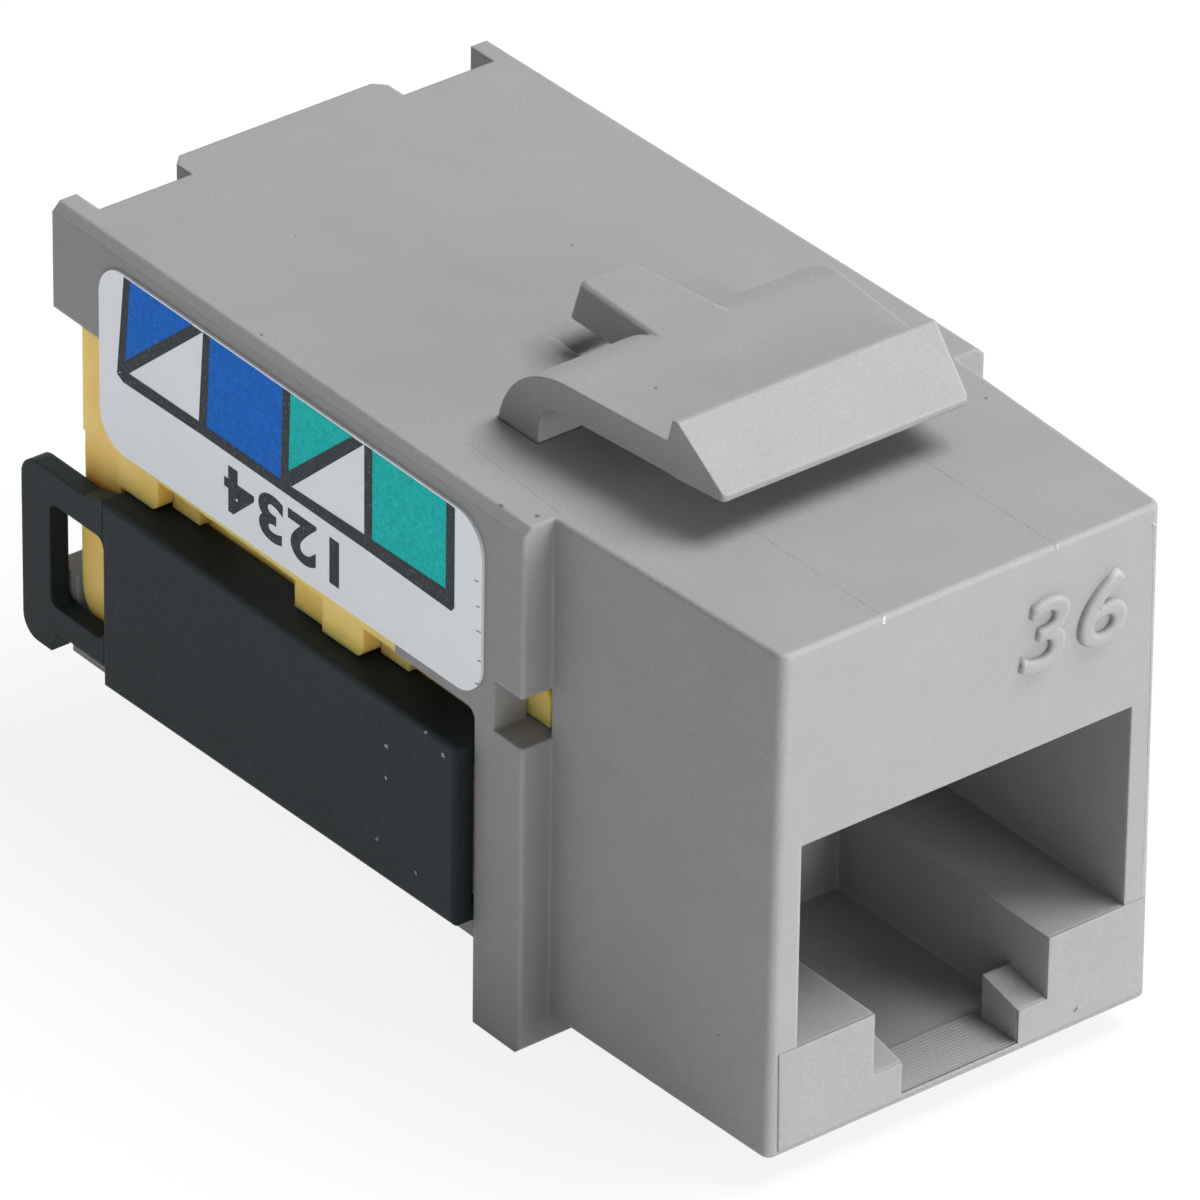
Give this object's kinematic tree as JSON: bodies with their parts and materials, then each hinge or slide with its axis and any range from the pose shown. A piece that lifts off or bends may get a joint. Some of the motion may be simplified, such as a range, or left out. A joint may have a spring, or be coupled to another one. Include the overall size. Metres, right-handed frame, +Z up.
{
  "type": "keystone jack",
  "caption": "Snap-in modular jack insert with a side-entry terminal block on each side, a spring latch and two pull-off dust caps.",
  "frame": {"origin": "middle of the bottom edge of the port face, where the front body enters a panel's opening", "axes": "+X across the jack to its right side seen from the rear, +Y from the port face towards the cable entry, +Z up towards the latch"},
  "size_m": [0.0178, 0.0325, 0.0206],
  "materials": {
    "grey_plastic": "fine satin moulded grey",
    "amber_plastic": "semi-gloss amber",
    "black_plastic": "satin black",
    "carrier_plastic": "satin grey",
    "board": "green solder resist",
    "gold_plate": "gold-plated spring wire",
    "tin_plate": "tin-plated bronze",
    "label_blue_green": "printed white film",
    "label_orange_brown": "printed white film"
  },
  "bodies": {
    "jack": {"housing": "grey_plastic", "circuit_board": "board", "contact_carrier": "carrier_plastic", "contact_leads": "gold_plate", "idc_block_left": "amber_plastic", "idc_block_right": "amber_plastic", "label_left": "label_blue_green", "label_right": "label_orange_brown", "idc_terminal_1": "tin_plate", "idc_terminal_2": "tin_plate", "idc_terminal_3": "tin_plate", "idc_terminal_4": "tin_plate", "idc_terminal_5": "tin_plate", "idc_terminal_6": "tin_plate", "idc_terminal_7": "tin_plate", "idc_terminal_8": "tin_plate"},
    "latch": {"latch_lever": "grey_plastic"},
    "cap_left": {"dust_cap_left": "black_plastic"},
    "cap_right": {"dust_cap_right": "black_plastic"},
    "contact_1": {"spring_contact_1": "gold_plate"},
    "contact_2": {"spring_contact_2": "gold_plate"},
    "contact_3": {"spring_contact_3": "gold_plate"},
    "contact_4": {"spring_contact_4": "gold_plate"},
    "contact_5": {"spring_contact_5": "gold_plate"},
    "contact_6": {"spring_contact_6": "gold_plate"},
    "contact_7": {"spring_contact_7": "gold_plate"},
    "contact_8": {"spring_contact_8": "gold_plate"}
  },
  "joints": [
    {"name": "latch_press", "type": "hinge", "parent": "jack", "child": "latch", "pos_m": [0, 0.01385, 0.0165], "axis": [1, 0, 0], "range_deg": [0, 8], "stiffness_Nm_per_rad": 0.5},
    {"name": "cap_left_pull", "type": "slide", "parent": "jack", "child": "cap_left", "axis": [-1, 0, 0], "range_m": [0, 0.012]},
    {"name": "cap_right_pull", "type": "slide", "parent": "jack", "child": "cap_right", "axis": [1, 0, 0], "range_m": [0, 0.012]},
    {"name": "contact_1_press", "type": "hinge", "parent": "jack", "child": "contact_1", "pos_m": [-0.00356, 0.0029, 0.0112], "axis": [1, 0, 0], "range_deg": [0, 20], "stiffness_Nm_per_rad": 0.02},
    {"name": "contact_2_press", "type": "hinge", "parent": "jack", "child": "contact_2", "pos_m": [-0.00254, 0.0029, 0.0112], "axis": [1, 0, 0], "range_deg": [0, 20], "stiffness_Nm_per_rad": 0.02},
    {"name": "contact_3_press", "type": "hinge", "parent": "jack", "child": "contact_3", "pos_m": [-0.00152, 0.0029, 0.0112], "axis": [1, 0, 0], "range_deg": [0, 20], "stiffness_Nm_per_rad": 0.02},
    {"name": "contact_4_press", "type": "hinge", "parent": "jack", "child": "contact_4", "pos_m": [-0.00051, 0.0029, 0.0112], "axis": [1, 0, 0], "range_deg": [0, 20], "stiffness_Nm_per_rad": 0.02},
    {"name": "contact_5_press", "type": "hinge", "parent": "jack", "child": "contact_5", "pos_m": [0.00051, 0.0029, 0.0112], "axis": [1, 0, 0], "range_deg": [0, 20], "stiffness_Nm_per_rad": 0.02},
    {"name": "contact_6_press", "type": "hinge", "parent": "jack", "child": "contact_6", "pos_m": [0.00152, 0.0029, 0.0112], "axis": [1, 0, 0], "range_deg": [0, 20], "stiffness_Nm_per_rad": 0.02},
    {"name": "contact_7_press", "type": "hinge", "parent": "jack", "child": "contact_7", "pos_m": [0.00254, 0.0029, 0.0112], "axis": [1, 0, 0], "range_deg": [0, 20], "stiffness_Nm_per_rad": 0.02},
    {"name": "contact_8_press", "type": "hinge", "parent": "jack", "child": "contact_8", "pos_m": [0.00356, 0.0029, 0.0112], "axis": [1, 0, 0], "range_deg": [0, 20], "stiffness_Nm_per_rad": 0.02}
  ]
}
